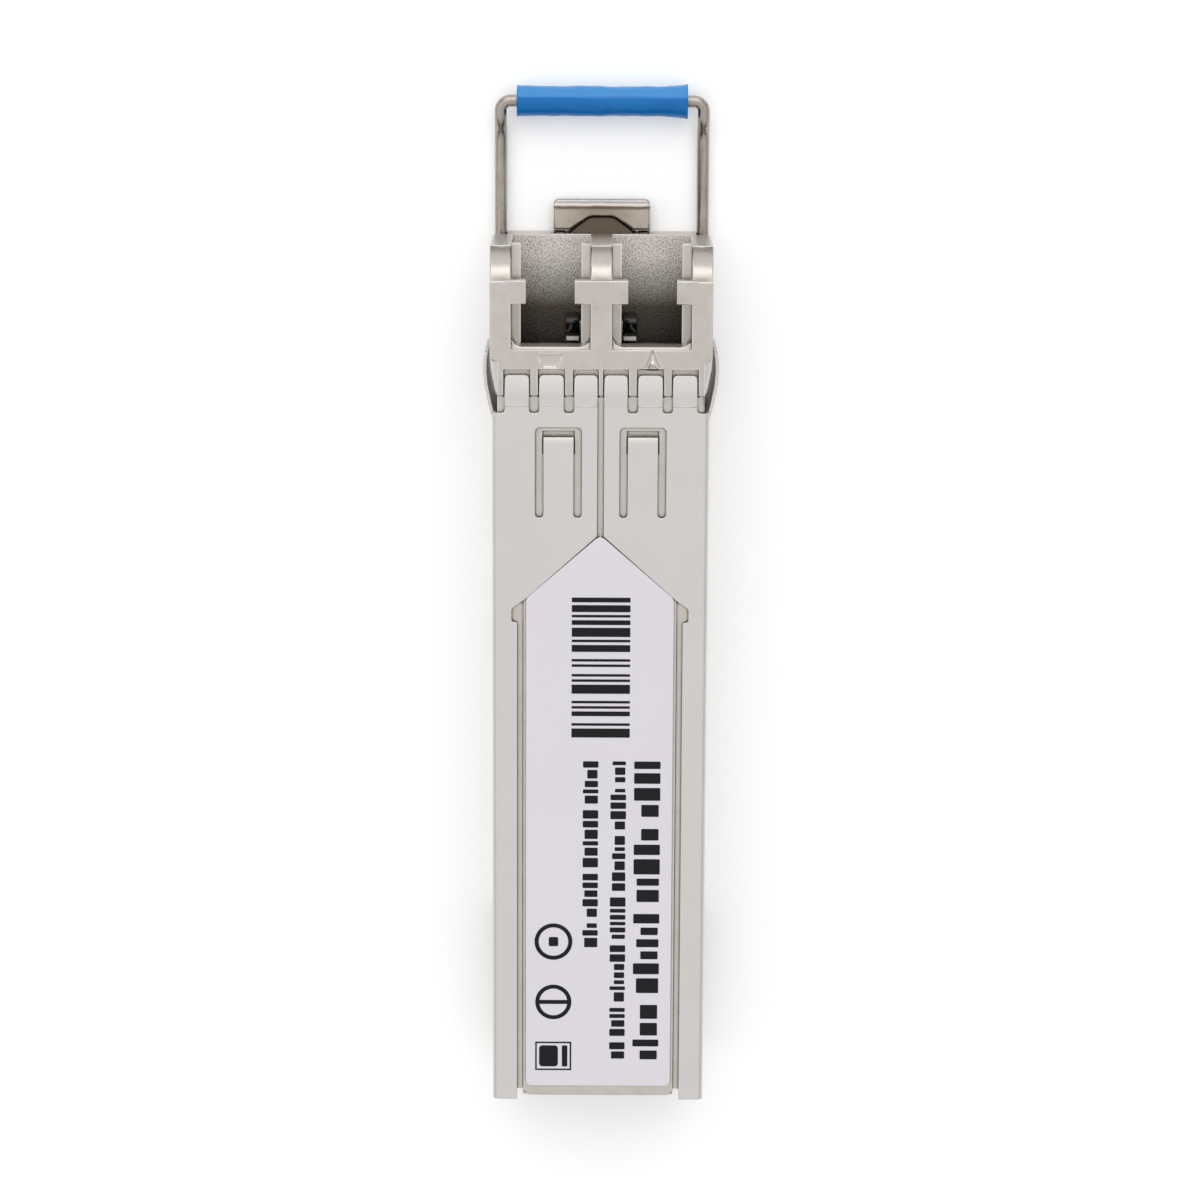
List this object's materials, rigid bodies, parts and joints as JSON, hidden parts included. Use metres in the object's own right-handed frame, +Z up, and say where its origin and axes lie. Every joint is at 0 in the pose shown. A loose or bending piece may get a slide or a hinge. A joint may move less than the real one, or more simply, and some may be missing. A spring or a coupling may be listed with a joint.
{
  "type": "optical transceiver module",
  "caption": "Pluggable fibre-optic transceiver: die-cast nose with duplex LC ports, wrapped sheet-metal shell, edge connector and a wire bail latch with a blue sleeve.",
  "frame": {"origin": "middle of the sheet shell's flat underside, half-way between the nose's front face and the shell's rear end", "axes": "+Z up through the labelled face, +Y from the nose to the edge connector, so the ports and the bail face -Y, +X across the width with the transmit port at +X"},
  "size_m": [0.0146, 0.064, 0.0086],
  "materials": {
    "cast_nickel": "satin nickel plating on a zinc die casting",
    "sheet_nickel": "satin nickel-silver sheet",
    "wire_steel": "bright drawn stainless wire",
    "blue_plastic": "satin blue plastic tube",
    "label_white": "satin white polyester label",
    "board_green": "green solder mask",
    "barrel_steel": "turned stainless steel",
    "ceramic": "ground ceramic",
    "gold": "gold plating",
    "chip_black": "moulded epoxy",
    "flex_amber": "polyimide film",
    "gasket_grey": "conductive rubber",
    "pad_pink": "soft gap filler",
    "ferrite_grey": "sintered ferrite",
    "tantalum_orange": "moulded case"
  },
  "bodies": {
    "housing": {"bias_resistor_rx_0": "chip_black", "bias_resistor_rx_1": "chip_black", "bias_resistor_tx_0": "chip_black", "bias_resistor_tx_1": "chip_black", "bottom_cover": "cast_nickel", "bypass_capacitor_rx": "ceramic", "bypass_capacitor_tx": "ceramic", "circuit_board": "board_green", "controller": "chip_black", "coupling_capacitor_rx_0": "ceramic", "coupling_capacitor_rx_1": "ceramic", "coupling_capacitor_tx_0": "ceramic", "coupling_capacitor_tx_1": "ceramic", "emi_gasket": "gasket_grey", "ferrite_bead_rx": "ferrite_grey", "ferrite_bead_tx": "ferrite_grey", "label": "label_white", "laser_driver": "chip_black", "latch_spring": "wire_steel", "limiting_amplifier": "chip_black", "memory_chip": "chip_black", "osa_clamp": "sheet_nickel", "power_inductor_rx": "ferrite_grey", "power_inductor_tx": "ferrite_grey", "rocker_pin": "wire_steel", "rx_detector_can": "gold", "rx_flex": "flex_amber", "rx_receptacle": "barrel_steel", "sheet_shell": "sheet_nickel", "tantalum_capacitor_rx": "tantalum_orange", "tantalum_capacitor_tx": "tantalum_orange", "thermal_pad": "pad_pink", "top_housing": "cast_nickel", "tx_fibre_stub": "ceramic", "tx_flex": "flex_amber", "tx_laser_can": "gold", "tx_receptacle": "barrel_steel", "tx_split_sleeve": "ceramic"},
    "rocker": {"latch_rocker": "cast_nickel"},
    "bail": {"bail_wire": "wire_steel", "bail_sleeve": "blue_plastic"}
  },
  "joints": [
    {"name": "bail_hinge", "type": "hinge", "parent": "housing", "child": "bail", "pos_m": [0, -0.02663, 0.00157], "axis": [-1, 0, 0], "range_deg": [0, 90]},
    {"name": "rocker_hinge", "type": "hinge", "parent": "housing", "child": "rocker", "pos_m": [0, -0.02285, 0.0007], "axis": [-1, 0, 0], "range_deg": [0, 5.6], "deforming": ["latch_spring"]}
  ],
  "couplings": [
    {"joint": "rocker_hinge", "follows": "bail_hinge", "ratio": 0.0622}
  ]
}
